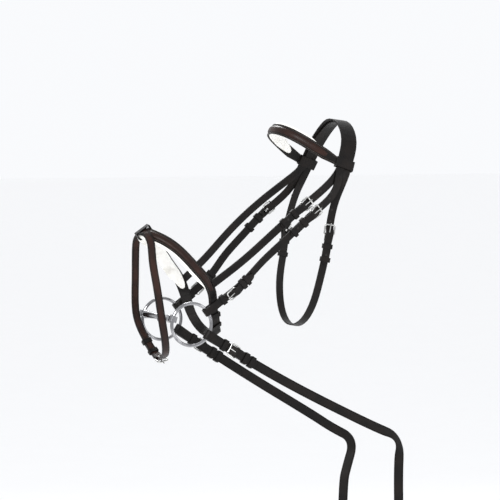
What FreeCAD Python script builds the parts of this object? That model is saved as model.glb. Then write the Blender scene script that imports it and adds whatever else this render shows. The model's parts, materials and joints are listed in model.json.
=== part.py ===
"""A flash-noseband snaffle bridle in black leather, on a loose-ring jointed snaffle, with buckled reins.

Millimetres. The horse faces -X, its near (left) side is -Y and +Z is up. The origin is the poll: the
middle of the underside of the headpiece. Straps follow smooth routes over the head, and each piece is
drawn in a route's own coordinates: distance along it, height off the head, and across.
"""
import FreeCAD
import Part
import math
import os

from FreeCAD import Vector

os.makedirs("parts", exist_ok=True)

# ---- leather ----
LEATHER = 2.4               # one thickness of strap leather
BILLET = 2.2                # a billet is split a little thinner
CHAPE = 1.2                 # skived end that is folded round a bar
PLY_GAP = 0.2               # air between two layers that lie on each other
NARROW = 13.0               # cheekpieces, sliphead, throatlash, flash strap
REIN_WIDTH = 16.0
CHIN_WIDTH = 16.0
NOSEBAND_WIDTH = 19.0
BROWBAND_WIDTH = 19.0
CROWN_WIDTH = 28.0
PAD_LIP = 3.6               # the padding shows this far past the leather's front edge
PAD_THICKNESS = 3.4
TIP = 11.0                  # length of a billet's pointed end
KEEPER_LEATHER = 1.7
KEEPER_WIDTH = 8.0

# ---- buckle ----
BAR = 1.4                   # radius of the buckle's wire
BUCKLE_REACH = 17.0         # hinge bar to end bar
BUCKLE_MARGIN = 2.1         # strap's edge to the middle of a side bar
FOLD_GAP = 0.3              # leather round a bar stands off it by this much
FOLD_OUTSIDE = BAR + FOLD_GAP + CHAPE
HINGE_HEIGHT = FOLD_OUTSIDE
END_HEIGHT = BILLET + 0.45 + BAR
OVER_HEIGHT = HINGE_HEIGHT + FOLD_OUTSIDE + PLY_GAP + BILLET / 2
TONGUE = 0.95
TONGUE_EYE = 2.6
TONGUE_WIDTH = 2.8
TONGUE_SLOT = 3.6
TONGUE_LIFTS = 10.0         # degrees
TONGUE_START = Vector(0.8, 0, HINGE_HEIGHT + 1.5)
TONGUE_TIP = Vector(BUCKLE_REACH + 2.2, 0, END_HEIGHT + BAR + 0.35 + TONGUE + 0.3)

# ---- bit ----
RING_RADIUS = 35.2          # to the middle of the wire
RING_WIRE = 2.75
RING_SIDE = 68.0            # ring plane to the middle of the head
RING_CENTRE = Vector(-295.5, 0, -334.2)
BARREL_ANGLE = 163.0        # round the ring from +X towards +Z, degrees
CHEEK_ANGLE = 37.0
CHEEK_FLARE = 0.09          # the cheekpiece leans out from the ring's plane by this slope
NEAR_REIN_ANGLE = -32.0
FAR_REIN_ANGLE = -33.0
FOLD_INSIDE = 4.2           # leather and barrel holes clear the curved ring wire
CANNON = 7.2
CANNON_THIN = 4.6
BARREL_LENGTH = 10.0
EYE_WIRE = 2.6
EYE_RADIUS = 5.6
JOINT_SAG = 6.0             # the middle joint lies this far behind the line between the barrels

# ---- where the buckles sit, along their straps ----
BIT_HINGE = 60.0            # ring wire to hinge bar, on cheekpieces and reins
BIT_TAIL = 99.0             # ring wire to billet tip
TAIL = 50.0                 # hinge bar to billet tip on the other straps

# ---- the browband's loops ----
LOOP_HALF = 15.0            # half the inside width
LOOP_LENGTH = 17.0
LOOP_WALL = 1.6
LOOP_UP = 4.0               # middle of a loop above the place where the crownpiece divides

NEAR = -1
FAR = 1


def write(name, shape):
    """Saves one node, and says if it isn't a sound solid."""
    if not shape.isValid():
        print("NOT VALID", name)
    shape.exportStep(f"parts/{name}.step")
    print(f"{name:32s} solids {len(shape.Solids)} volume {shape.Volume:9.1f} faces {len(shape.Faces)}")
    return shape


# ---- routes: smooth lines over the head ----

class Frame:
    """A place on a strap: the point, and the directions along it, out from the head and across it."""

    def __init__(self, point, along, out):
        self.point = Vector(point)
        self.along = Vector(along).normalize()
        self.out = (out - self.along * out.dot(self.along)).normalize()
        self.across = self.along.cross(self.out)

    def lifted(self, height):
        return Frame(self.point + self.out * height, self.along, self.out)

    def aside(self, shift):
        return Frame(self.point + self.across * shift, self.along, self.out)

    def placement(self, toward=1):
        """Puts a piece drawn with X along the strap, Z off the head and its origin here."""
        x = self.along * toward
        z = self.out
        y = z.cross(x)
        p = self.point
        rows = (x.x, y.x, z.x, p.x, x.y, y.y, z.y, p.y, x.z, y.z, z.z, p.z, 0, 0, 0, 1)
        return FreeCAD.Placement(FreeCAD.Matrix(*rows))


class Route:
    """A smooth line through the points, facing away from a core line inside the head.

    Each entry of fixed is (point, direction, reach): near that point the line faces that way instead.
    """

    def __init__(self, points, core, closed=False, fixed=(), first=None, last=None):
        self.core = core
        self.closed = closed
        curve = Part.BSplineCurve()
        if closed:
            curve.interpolate(Points=points, PeriodicFlag=True)
        elif len(points) == 2:
            curve = Part.LineSegment(points[0], points[1])
        else:
            first = first or points[1] - points[0]
            last = last or points[-1] - points[-2]
            curve.interpolate(Points=points, InitialTangent=first, FinalTangent=last)
        self.edge = curve.toShape()
        self.length = self.edge.Length
        self.fixed = [(self.nearest(point), Vector(out).normalize(), reach) for point, out, reach in fixed]

    def place(self, distance):
        here = self.edge.getParameterByLength(min(max(distance, 0.0), self.length))
        return self.edge.valueAt(here), self.edge.tangentAt(here).normalize()

    def at(self, distance):
        """The frame at a distance along the line, which runs on straight past its open ends."""
        if self.closed:
            distance = distance % self.length
        inside = min(max(distance, 0.0), self.length)
        point, along = self.place(inside)
        out = point - nearest_on(self.core, point)
        out = (out - along * out.dot(along)).normalize()
        for centre, fixed, reach in self.fixed:
            gone = abs(inside - centre)
            if self.closed:
                gone = min(gone, self.length - gone)
            share = max(0.0, 1.0 - gone / reach)
            share = share * share * (3 - 2 * share)
            out = out * (1 - share) + fixed * share
        return Frame(point + along * (distance - inside), along, out)

    def nearest(self, point):
        """The distance along the line of its place nearest to a point."""
        places = [self.length * k / 400 for k in range(401)]
        return min(places, key=lambda d: (self.place(d)[0] - point).Length)


def nearest_on(core, point):
    """The place on the core, a point or a run of points, that is nearest to a point."""
    found = [core[0]]
    for a, b in zip(core, core[1:]):
        run = b - a
        share = min(max((point - a).dot(run) / run.dot(run), 0.0), 1.0)
        found.append(a + run * share)
    return min(found, key=lambda p: (p - point).Length)


# ---- straps: leather swept along a course, a list of (distance, height, thickness) ----

def arc(distance, height, radius, start, end, thick, step=24.0):
    """Points of an arc in a course, its angles in degrees from the course's forward direction."""
    count = max(2, math.ceil(abs(end - start) / step))
    angles = [math.radians(start + (end - start) * k / count) for k in range(count + 1)]
    return [(distance + radius * math.cos(a), height + radius * math.sin(a), thick) for a in angles]


def blend(a, b, share):
    return tuple(x + (y - x) * share for x, y in zip(a, b))


def filled(course, spacing):
    """The course with points added so that none is further than the spacing from the next."""
    points = [course[0]]
    for a, b in zip(course, course[1:]):
        count = max(1, math.ceil(math.dist(a[:2], b[:2]) / spacing))
        points += [blend(a, b, k / count) for k in range(1, count + 1)]
    return points


def runs(points):
    """How far along the course each point is."""
    run = [0.0]
    for a, b in zip(points, points[1:]):
        run.append(run[-1] + math.dist(a[:2], b[:2]))
    return run


def read(table, value):
    """Reads a list of (position, amount) pairs, straight from one to the next, or gives a plain number."""
    if not isinstance(table, list):
        return table
    if value <= table[0][0]:
        return table[0][1]
    for (a, low), (b, high) in zip(table, table[1:]):
        if value <= b:
            return low + (high - low) * (value - a) / max(b - a, 1e-9)
    return table[-1][1]


def resampled(points, places):
    """The course's points at the given distances along it."""
    run = runs(points)
    result = []
    for place in places:
        k = min(max(1, sum(1 for r in run if r < place)), len(run) - 1)
        share = (place - run[k - 1]) / max(run[k] - run[k - 1], 1e-9)
        result.append(blend(points[k - 1], points[k], share))
    return result


def with_tips(points, tip_start, tip_end):
    """The course with close points where an end narrows to a point."""
    run = runs(points)
    total = run[-1]
    shares = (0.0, 0.06, 0.16, 0.3, 0.5, 0.75, 1.0)
    places = list(run)
    if tip_start:
        places = [tip_start * s for s in shares] + [r for r in places if r > tip_start + 0.8]
    if tip_end:
        places = [r for r in places if r < total - tip_end - 0.8]
        places += [total - tip_end * s for s in reversed(shares)]
    return resampled(points, places), places


def point_share(left, tip):
    """How much of the full width a pointed end has, this far from its tip."""
    if not tip or left >= tip:
        return 1.0
    return 0.25 + 0.75 * math.sqrt(max(0.0, 1.0 - (1.0 - left / tip) ** 2))


def section(frame, lean, width, thickness):
    """One rectangle across the strap. The lean, in radians, tips it back along the route."""
    face = frame.out * math.cos(lean) - frame.along * math.sin(lean)
    side = frame.across * (width / 2)
    half = face * (thickness / 2)
    corners = [frame.point - side - half, frame.point + side - half,
               frame.point + side + half, frame.point - side + half]
    return Part.makePolygon(corners + [corners[0]])


def strap(route, course, width, tip_start=0.0, tip_end=0.0, shift=0.0, lift=0.0, spacing=12.0):
    """Leather along a course. Width, sideways shift and extra height are numbers or (run, amount) tables."""
    points, run = with_tips(filled(course, spacing), tip_start, tip_end)
    wires = []
    for k, (distance, height, thick) in enumerate(points):
        a = points[max(k - 1, 0)]
        b = points[min(k + 1, len(points) - 1)]
        lean = math.atan2(b[1] - a[1], b[0] - a[0])
        wide = read(width, run[k])
        wide *= point_share(run[k], tip_start) * point_share(run[-1] - run[k], tip_end)
        frame = route.at(distance).lifted(height + read(lift, run[k])).aside(read(shift, run[k]))
        wires.append(section(frame, lean, wide, thick))
    return Part.makeLoft(wires, True, True)


def placed(course, origin, toward=1, base=0.0):
    """A course drawn from a buckle or a ring, moved to its place on a route."""
    return [(origin + toward * x, height + base, thick) for x, height, thick in course]


# ---- buckles: X runs from the hinge bar to the end bar, and the billet comes in under the end bar ----

def chape_end(start, skived=24.0):
    """The course of a strap's end, from a start behind the hinge bar, over the bar and back underneath."""
    middle = FOLD_OUTSIDE - CHAPE / 2
    lead = [(start, LEATHER / 2, LEATHER), (-skived, LEATHER / 2, LEATHER), (-13.0, LEATHER - CHAPE / 2, CHAPE)]
    fold = arc(0.0, HINGE_HEIGHT, middle, 105.0, -90.0, CHAPE)
    return lead + fold + [(-5.0, CHAPE / 2, CHAPE), (-11.0, CHAPE / 2, CHAPE)]


def billet_end(start, tail):
    """The course of a billet, from a start beyond the end bar, over the hinge bar to its tip."""
    rest = LEATHER + PLY_GAP + BILLET / 2
    low = BILLET / 2
    rise = [(16.5, low), (14.3, low + 0.15), (12.5, low + 0.85), (4.2, OVER_HEIGHT - 1.15),
            (2.2, OVER_HEIGHT - 0.3), (0.0, OVER_HEIGHT), (-2.4, OVER_HEIGHT - 0.2),
            (-11.0, rest + 0.45), (-13.0, rest + 0.08), (-15.5, rest), (-tail, rest)]
    return [(x, height, BILLET) for x, height in [(start, low)] + rise]


def tongue_rod(radius):
    """The tongue's own rod, from the hinge bar to just past the end bar."""
    run = TONGUE_TIP - TONGUE_START
    rod = Part.makeCone(radius * 1.15, radius * 0.85, run.Length, TONGUE_START, run)
    return rod.fuse(Part.makeSphere(radius * 0.85, TONGUE_TIP))


def tongue():
    hinge = Vector(0, -TONGUE_WIDTH / 2, HINGE_HEIGHT)
    across = Vector(0, 1, 0)
    eye = Part.makeCylinder(TONGUE_EYE, TONGUE_WIDTH, hinge, across)
    hole = Part.makeCylinder(BAR + 0.1, TONGUE_WIDTH + 4, hinge - across * 2, across)
    return eye.fuse(tongue_rod(TONGUE)).cut(hole).removeSplitter()


def tongue_room():
    """The room that the tongue sweeps, which the billet's hole has to leave free."""
    run = TONGUE_TIP - TONGUE_START
    clear = 2 * TONGUE + 0.9
    room = Part.makeBox(14.0, clear, clear, Vector(0, -clear / 2, -clear / 2))
    room.Placement = FreeCAD.Placement(TONGUE_START, FreeCAD.Rotation(Vector(1, 0, 0), run))
    hinge = Vector(0, 0, HINGE_HEIGHT)
    swept = []
    for share in (0.0, 0.35, 0.7, 1.0):
        lifted = room.copy()
        lifted.rotate(hinge, Vector(0, -1, 0), TONGUE_LIFTS * share)
        swept.append(lifted)
    return swept[0].fuse(swept[1:]).removeSplitter()


def buckle_frame(width):
    """A closed loop of wire: hinge bar, two side bars and end bar, with round corners."""
    half = width / 2 + BUCKLE_MARGIN
    corner = 3.2
    rise = END_HEIGHT - HINGE_HEIGHT
    reach = math.hypot(BUCKLE_REACH, rise)
    corners = [Vector(0, -half, 0), Vector(reach, -half, 0), Vector(reach, half, 0), Vector(0, half, 0)]
    edges = []
    for k in range(4):
        before, here, after = corners[k - 1], corners[k], corners[(k + 1) % 4]
        back = (before - here).normalize() * corner
        ahead = (after - here).normalize() * corner
        middle = here + (back + ahead) * (1 - math.sqrt(0.5))
        edges.append(Part.Arc(here + back, middle, here + ahead).toShape())
        edges.append(Part.LineSegment(here + ahead, after + (here - after).normalize() * corner).toShape())
    path = Part.Wire(edges)
    start = Part.Circle(edges[1].valueAt(edges[1].FirstParameter), corners[1] - corners[0], BAR).toShape()
    loop = path.makePipeShell([Part.Wire([start])], True, False)
    tilt = math.degrees(math.atan2(rise, BUCKLE_REACH))
    loop.rotate(Vector(0, 0, 0), Vector(0, 1, 0), -tilt)
    loop.translate(Vector(0, 0, HINGE_HEIGHT))
    return loop


def chape_slot():
    """The slot in the folded leather that the tongue hinges in."""
    return Part.makeBox(9.0, TONGUE_SLOT, 20.0, Vector(-4.8, -TONGUE_SLOT / 2, -6.0))


def moved(shape, placement):
    copy = shape.copy()
    copy.Placement = placement.multiply(copy.Placement)
    return copy


class Buckle:
    """One buckle on a route: its metal, and the cutters for the leather that goes through it."""

    def __init__(self, name, route, hinge, toward, width, base=0.0):
        self.name = name
        self.route = route
        self.hinge = hinge
        self.toward = toward
        self.width = width
        self.base = base
        self.frame = route.at(hinge).lifted(base)
        self.placement = self.frame.placement(toward)

    def write(self):
        write(f"{self.name}_buckle", moved(buckle_frame(self.width), self.placement))
        write(f"{self.name}_tongue", moved(tongue(), self.placement))
        centre = self.placement.multVec(Vector(0, 0, HINGE_HEIGHT))
        axis = self.placement.Rotation.multVec(Vector(0, -1, 0))
        print(f"JOINT {self.name}_tongue pos {centre.x:.3f} {centre.y:.3f} {centre.z:.3f} "
              f"axis {axis.x:.5f} {axis.y:.5f} {axis.z:.5f}")

    def chape(self, start, skived=24.0):
        return placed(chape_end(start, skived), self.hinge, self.toward, self.base)

    def billet(self, start, tail=TAIL):
        return placed(billet_end(start, tail), self.hinge, self.toward, self.base)

    def slotted(self, leather):
        return leather.cut(moved(chape_slot(), self.placement))

    def punched(self, leather):
        return leather.cut(moved(tongue_room(), self.placement))


def rounded_slab(length, half_width, low, high, radius):
    """A bar along X, centred there, whose four long edges are rounded."""
    slab = Part.makeBox(length, 2 * half_width, high - low, Vector(-length / 2, -half_width, low))
    long_edges = [e for e in slab.Edges if abs(e.tangentAt(e.FirstParameter).x) > 0.99]
    return slab.makeFillet(radius, long_edges)


def keeper(route, distance, width, low, high, length=KEEPER_WIDTH, slack=0.35):
    """A leather loop round everything on the route between two heights."""
    half = width / 2 + slack
    wall = KEEPER_LEATHER
    outer = rounded_slab(length, half + wall, low - slack - wall * 0.6, high + slack + wall, 1.3)
    inner = rounded_slab(length + 2, half, low - slack, high + slack, 0.4)
    return moved(outer.cut(inner), route.at(distance).placement())


# ---- the routes ----

def side(points, sign):
    """Points given for the far side (+Y), put on one side of the head."""
    return [Vector(x, y * sign, z) for x, y, z in points]


HEAD_CORE = [Vector(-10, 0, -75), Vector(-300, 0, -300)]
POLL_SIDE = [(-21.5, 75, -74.5), (-8, 64, -40), (-1.5, 45, -18), (0.5, 20, -3.5)]
SLIP_SIDE = [(-262, 64, -272), (-211, 77, -232), (-166, 88.5, -191.5), (-104, 93, -139.5), (-54, 87.5, -102)]
UNDER_CROWN = [(1.0, -4.5), (32.0, -4.0), (62.0, -2.5), (92.0, -1.0)]
CHEEK_SIDE = [(-44, 91.5, -112), (-86, 96, -150.5), (-137, 91, -196), (-177, 82.5, -233.5),
              (-206, 75.0, -265), (-231.5, 72.0, -285.9)]
THROAT_SIDE = [(-40, 84, -130), (-54, 87.5, -184), (-60, 86.5, -223), (-68, 83, -262), (-74, 71, -300),
               (-79, 42, -333)]
BROW_SIDE = [(-56, 66.5, -51), (-75, 58, -38), (-97, 43, -23), (-109, 22, -15)]
NOSE_SIDE = [(-345.5, 18, -188.5), (-329, 33, -198), (-307, 46, -217), (-285, 57, -243), (-265, 61.5, -269),
             (-255, 58.5, -297), (-247, 49, -328), (-239, 30, -348)]
FLASH_SIDE = [(-355.2, 19.8, -186.3), (-354.5, 32.5, -198.5), (-354, 38, -222), (-351, 47, -262),
              (-348, 56, -300), (-344, 58, -330), (-335, 47, -360), (-326, 25, -385)]
POLL_TOP = Vector(0, 0, 0)
THROAT_BOTTOM = Vector(-81, 0, -345)
BROW_FRONT = Vector(-112, 0, -13)
NOSE_FRONT = Vector(-350, 0, -184.5)
NOSE_BOTTOM = Vector(-236, 0, -355)
FLASH_TOP = Vector(-355.8, 0, -180.7)
FLASH_BOTTOM = Vector(-323, 0, -393)
CROWN_LIFT = 3.0            # the crownpiece lies on the sliphead
SPLIT = 6.8                 # middle of the crownpiece to the middle of each billet


def over_the_head(near, top, core, **options):
    """A route from the near side over a middle point to the same points on the far side."""
    points = side(near, NEAR) + [top] + side(near, FAR)[::-1]
    return Route(points, core, **options)


def round_the_nose(half, front, bottom, core, **options):
    """A closed route from the front down the near side, under the chin and up the far side."""
    points = [front] + side(half, NEAR) + [bottom] + side(half, FAR)[::-1]
    return Route(points, core, closed=True, **options)


def ring_point(sign, angle, radius=RING_RADIUS):
    turn = math.radians(angle)
    return RING_CENTRE + Vector(radius * math.cos(turn), sign * RING_SIDE, radius * math.sin(turn))


def outward(angle):
    turn = math.radians(angle)
    return Vector(math.cos(turn), 0, math.sin(turn))


crown_route = over_the_head(POLL_SIDE, POLL_TOP, HEAD_CORE)
lying_under = [crown_route.at(crown_route.length - up).aside(shift).point for up, shift in UNDER_CROWN]
slip_route = over_the_head(SLIP_SIDE + lying_under, POLL_TOP, HEAD_CORE)
crown_end = {NEAR: crown_route.at(0.0), FAR: crown_route.at(crown_route.length)}
loop_seat = {NEAR: crown_route.at(LOOP_UP), FAR: crown_route.at(crown_route.length - LOOP_UP)}


def billet_start(sign, aside):
    """Where a billet leaves the crownpiece: the front one has a negative shift."""
    return crown_end[sign].lifted(CROWN_LIFT).aside(aside)


def cheek_route(sign):
    start = billet_start(sign, -SPLIT)
    ring = ring_point(sign, CHEEK_ANGLE)
    points = [start.point] + side(CHEEK_SIDE, sign) + [ring]
    facing = [(start.point, start.out, 30.0), (ring, Vector(0, sign, 0), 70.0)]
    last = (outward(CHEEK_ANGLE) + Vector(0, sign * CHEEK_FLARE, 0)) * -1
    return Route(points, HEAD_CORE, fixed=facing, first=start.along * sign, last=last)


def throat_route():
    start = billet_start(NEAR, SPLIT)
    end = billet_start(FAR, SPLIT)
    points = [start.point] + side(THROAT_SIDE, NEAR) + [THROAT_BOTTOM]
    points += side(THROAT_SIDE, FAR)[::-1] + [end.point]
    core = [Vector(-12, 0, -80), Vector(-66, 0, -265)]
    facing = [(start.point, start.out, 30.0), (end.point, end.out, 30.0)]
    return Route(points, core, fixed=facing, first=start.along * -1, last=end.along * -1)


def brow_route():
    """From the front edge of one loop to the front edge of the other."""
    ends = {sign: loop_seat[sign].lifted(CROWN_LIFT / 2).aside(-LOOP_HALF - 0.7) for sign in (NEAR, FAR)}
    points = [ends[NEAR].point] + side(BROW_SIDE, NEAR) + [BROW_FRONT]
    points += side(BROW_SIDE, FAR)[::-1] + [ends[FAR].point]
    core = [Vector(-20, 0, -70), Vector(-82, 0, -32)]
    facing = [(ends[sign].point, loop_seat[sign].out, 25.0) for sign in (NEAR, FAR)]
    return Route(points, core, fixed=facing)


cheek_routes = {sign: cheek_route(sign) for sign in (NEAR, FAR)}
throat = throat_route()
brow = brow_route()
nose = round_the_nose(NOSE_SIDE, NOSE_FRONT, NOSE_BOTTOM, [Vector(-330, 0, -212), Vector(-262, 0, -318)])


def flash_route():
    """Round the muzzle, lying on the noseband where it crosses the front of it."""
    lying = [FLASH_TOP] + side(FLASH_SIDE[:1], NEAR) + side(FLASH_SIDE[:1], FAR)
    facing = [(point, nose.at(nose.nearest(point)).out, 19.0) for point in lying]
    core = [Vector(-350, 0, -222), Vector(-335, 0, -345)]
    return round_the_nose(FLASH_SIDE, FLASH_TOP, FLASH_BOTTOM, core, fixed=facing)


flash = flash_route()
NAMES = {NEAR: "left", FAR: "right"}
buckles = []
keepers = {"headstall": [], "reins": [], "rein_centre": []}


def buckle(*args, **options):
    made = Buckle(*args, **options)
    buckles.append(made)
    return made


# ---- crownpiece, cheekpieces and throatlash ----

cheek_top = {}
throat_buckle = {}
for sign in (NEAR, FAR):
    hinge = cheek_routes[sign].nearest(side([(-91, 95, -151)], sign)[0])
    cheek_top[sign] = buckle(f"{NAMES[sign]}_cheek_top", cheek_routes[sign], hinge, -1, NARROW)
    hinge = throat.nearest(side([(-52, 87.5, -188)], sign)[0])
    throat_buckle[sign] = buckle(f"{NAMES[sign]}_throatlash", throat, hinge, sign, NARROW)


def billet_from(start, made):
    """A billet from a distance on its buckle's route to its tip."""
    reach = abs(made.hinge - start)
    leather = strap(made.route, made.billet(reach), NARROW, tip_end=TIP)
    return made.punched(leather)


def crownpiece():
    course = [(0.0, CROWN_LIFT + LEATHER / 2, LEATHER), (crown_route.length, CROWN_LIFT + LEATHER / 2, LEATHER)]
    end = 2 * SPLIT + NARROW
    width = [(0, end), (30, CROWN_WIDTH), (crown_route.length - 30, CROWN_WIDTH), (crown_route.length, end)]
    pieces = [strap(crown_route, course, width)]
    for sign in (NEAR, FAR):
        pieces.append(billet_from(0.0, cheek_top[sign]))
        pieces.append(billet_from(0.0 if sign == NEAR else throat.length, throat_buckle[sign]))
    return pieces[0].fuse(pieces[1:])


write("crownpiece", crownpiece())


def bit_end(start):
    """The course of a strap end, from a start above the ring, round the ring wire and back to its tip.

    Distances are from the ring wire, away from the ring.
    """
    middle = FOLD_INSIDE + LEATHER / 2
    base = LEATHER + PLY_GAP
    inner = [(start, LEATHER / 2, LEATHER), (31.0, LEATHER / 2, LEATHER), (25.0, LEATHER / 2 - 0.6, LEATHER)]
    fold = arc(0.0, 0.0, middle, -75.0, -285.0, LEATHER)
    outer = [(19.0, base + BILLET / 2 + 0.5, BILLET), (24.0, base + BILLET / 2, BILLET)]
    return inner + fold + outer + placed(billet_end(30.0, BIT_TAIL - BIT_HINGE), BIT_HINGE, -1, base)


def bit_chape(made):
    """The short piece that holds a bit-end buckle on top of its strap."""
    return made.slotted(strap(made.route, made.chape(-40.0), made.width, tip_start=5.0))


def cheekpiece(sign):
    route = cheek_routes[sign]
    top = cheek_top[sign]
    name = NAMES[sign]
    halfway = (top.hinge + route.length) / 2
    low = buckle(f"{name}_cheek_bit", route, route.length - BIT_HINGE, 1, NARROW, LEATHER + PLY_GAP)
    course = top.chape(top.hinge - halfway)[::-1]
    course += placed(bit_end(route.length - halfway), route.length, -1)[1:]
    leather = strap(route, course, NARROW, tip_end=TIP)
    write(f"{name}_cheekpiece", low.punched(top.slotted(leather)))
    write(f"{name}_cheek_chape", bit_chape(low))
    keepers["headstall"] += [
        keeper(route, top.hinge + 19.5, NARROW, 0, LEATHER + PLY_GAP + BILLET),
        keeper(route, route.length - 33.0, NARROW, 0, LEATHER + PLY_GAP + BILLET),
        keeper(route, route.length - 76.0, NARROW, 0, 2 * (LEATHER + PLY_GAP) + BILLET),
    ]


RUNNER_LENGTH = 6.5
RUNNER_SLACK = 0.6          # a loose runner has more room round the straps than a sewn keeper


def runner(name, route, distance, high):
    """A loose leather loop, resting at its lowest place, that slides back up the cheekpiece."""
    write(name, keeper(route, distance, NARROW, 0, high, RUNNER_LENGTH, RUNNER_SLACK))
    frame = route.at(distance)
    axis = frame.along * -1
    print(f"JOINT {name} pos {frame.point.x:.3f} {frame.point.y:.3f} {frame.point.z:.3f} "
          f"axis {axis.x:.5f} {axis.y:.5f} {axis.z:.5f}")


for sign in (NEAR, FAR):
    cheekpiece(sign)
    route = cheek_routes[sign]
    name = NAMES[sign]
    runner(f"{name}_cheek_top_runner", route, cheek_top[sign].hinge + 43.0, LEATHER + PLY_GAP + BILLET)
    runner(f"{name}_cheek_bit_runner", route, route.length - 85.0, 2 * (LEATHER + PLY_GAP) + BILLET)


def throatlash():
    first = throat_buckle[NEAR]
    second = throat_buckle[FAR]
    half = (second.hinge - first.hinge) / 2
    course = first.chape(-half)[::-1] + second.chape(-half)[1:]
    return second.slotted(first.slotted(strap(throat, course, NARROW)))


write("throatlash", throatlash())
for sign in (NEAR, FAR):
    hinge = throat_buckle[sign].hinge
    for gone in (19.5, 42.0):
        keepers["headstall"].append(keeper(throat, hinge - sign * gone, NARROW, 0, LEATHER + PLY_GAP + BILLET))


# ---- browband ----

BROW_LIFT = PAD_THICKNESS + 0.3


def brow_loop(sign):
    """The loop at an end of the browband, round the crownpiece and the sliphead."""
    outer = rounded_slab(LOOP_LENGTH, LOOP_HALF + LOOP_WALL, -1.9, CROWN_LIFT + LEATHER + 2.3, 1.5)
    inner = rounded_slab(LOOP_LENGTH + 2, LOOP_HALF, -0.5, CROWN_LIFT + LEATHER + 0.5, 0.5)
    return moved(outer.cut(inner), loop_seat[sign].placement())


def browband():
    length = brow.length
    course = [(0.0, LEATHER / 2, LEATHER), (length, LEATHER / 2, LEATHER)]
    width = [(0, 14.0), (24, BROWBAND_WIDTH), (length - 24, BROWBAND_WIDTH), (length, 14.0)]
    lift = [(0, 1.6), (22, BROW_LIFT), (length - 22, BROW_LIFT), (length, 1.6)]
    band = strap(brow, course, width, lift=lift, spacing=8.0)
    return band.fuse([brow_loop(NEAR), brow_loop(FAR)])


def padding(route, start, end, width, lip):
    """A flat pad whose front edge shows past the leather, with ends that run out to a point."""
    middle = (start + end) / 2
    course = [(start, PAD_THICKNESS / 2, PAD_THICKNESS), (middle, PAD_THICKNESS / 2, PAD_THICKNESS),
              (end, PAD_THICKNESS / 2, PAD_THICKNESS)]
    run = end - start
    wide = [(0, width * 0.5), (30, width - 1.5 + lip), (run - 30, width - 1.5 + lip), (run, width * 0.5)]
    shift = [(0, 0.0), (30, (lip + 1.5) / 2), (run - 30, (lip + 1.5) / 2), (run, 0.0)]
    return strap(route, course, wide, tip_start=10.0, tip_end=10.0, shift=shift, spacing=8.0)


write("browband", browband())
write("browband_padding", padding(brow, 26.0, brow.length - 26.0, BROWBAND_WIDTH, PAD_LIP))


# ---- noseband, chin strap and sliphead ----

NOSE_LIFT = PAD_THICKNESS + 0.15
junction = nose.nearest(Vector(-264, -61.5, -272))
chin = buckle("noseband", nose, nose.nearest(Vector(-238.5, -27, -349)), 1, CHIN_WIDTH)
far_end = nose.length - nose.nearest(Vector(-248, -50, -325))


def noseband():
    """From the far side over the nose to the near side, where its end holds the chin strap's buckle."""
    total = chin.hinge + nose.length - far_end
    near_junction = total - (chin.hinge - junction)
    far_junction = total - chin.hinge - junction
    width = [(0, CHIN_WIDTH), (far_junction, NOSEBAND_WIDTH), (near_junction, NOSEBAND_WIDTH),
             (near_junction + 50, CHIN_WIDTH)]
    lift = [(far_junction - 36, 0.0), (far_junction - 15, NOSE_LIFT), (near_junction + 15, NOSE_LIFT),
            (near_junction + 36, 0.0)]
    return chin.slotted(strap(nose, chin.chape(-total), width, lift=lift, spacing=8.0))


def chin_strap():
    reach = far_end - chin.hinge - 0.1
    leather = strap(nose, chin.billet(reach), CHIN_WIDTH, tip_end=TIP, spacing=8.0)
    return chin.punched(leather)


write("noseband", noseband())
write("noseband_padding", padding(nose, -junction - 12.0, junction + 12.0, NOSEBAND_WIDTH, PAD_LIP))
write("chin_strap", chin_strap())
for gone in (19.5, 41.0):
    keepers["headstall"].append(keeper(nose, chin.hinge - gone, CHIN_WIDTH, 0, LEATHER + PLY_GAP + BILLET))

slip_buckle = buckle("sliphead", slip_route, slip_route.nearest(Vector(-104, -93, -143)), 1, NARROW)


def nose_zone():
    """The space that the noseband takes, which the straps sewn to its edge stop at."""
    span = junction + 60.0
    course = [(-span, 3.0, 12.0), (0.0, 3.0, 12.0), (span, 3.0, 12.0)]
    return strap(nose, course, NOSEBAND_WIDTH + 0.2)


def sliphead():
    reach = slip_route.length - slip_buckle.hinge + 4.0
    leather = strap(slip_route, slip_buckle.billet(reach), NARROW, tip_end=TIP)
    return slip_buckle.punched(leather).cut(nose_zone())


def noseband_cheek():
    leather = strap(slip_route, slip_buckle.chape(-slip_buckle.hinge - 4.0), NARROW)
    return slip_buckle.slotted(leather).cut(nose_zone())


write("sliphead", sliphead())
write("noseband_cheek", noseband_cheek())
for gone in (19.5, 43.0):
    keepers["headstall"].append(
        keeper(slip_route, slip_buckle.hinge - gone, NARROW, 0, LEATHER + PLY_GAP + BILLET))


# ---- flash strap ----

flash_buckle = buckle("flash", flash, flash.nearest(Vector(-324.5, 10, -391)), -1, NARROW)


def flash_strap():
    """One strap right round the muzzle, its two ends meeting in the buckle under the chin."""
    half = flash.length / 2
    course = flash_buckle.chape(-half)[::-1]
    course += placed(billet_end(half, TAIL), flash_buckle.hinge + flash.length, -1)[1:]
    leather = strap(flash, course, NARROW, tip_end=TIP, spacing=8.0)
    return flash_buckle.punched(flash_buckle.slotted(leather))


def flash_loop():
    """The loop on the front of the noseband that the flash strap runs through."""
    half = (NOSEBAND_WIDTH + PAD_LIP) / 2
    top = 6.4 + LEATHER
    outer = rounded_slab(12.0, half + 2.6, -2.6, top + 2.4, 1.5)
    inner = rounded_slab(14.0, half + 0.9, -1.2, top + 0.8, 0.5)
    return moved(outer.cut(inner), nose.at(0.0).aside(PAD_LIP / 2).placement())


write("flash_strap", flash_strap())
write("flash_loop", flash_loop())
for gone in (19.5, 41.0):
    keepers["headstall"].append(
        keeper(flash, flash_buckle.hinge + gone, NARROW, 0, LEATHER + PLY_GAP + BILLET))


# ---- the bit: two loose rings and a jointed mouthpiece ----

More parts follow.
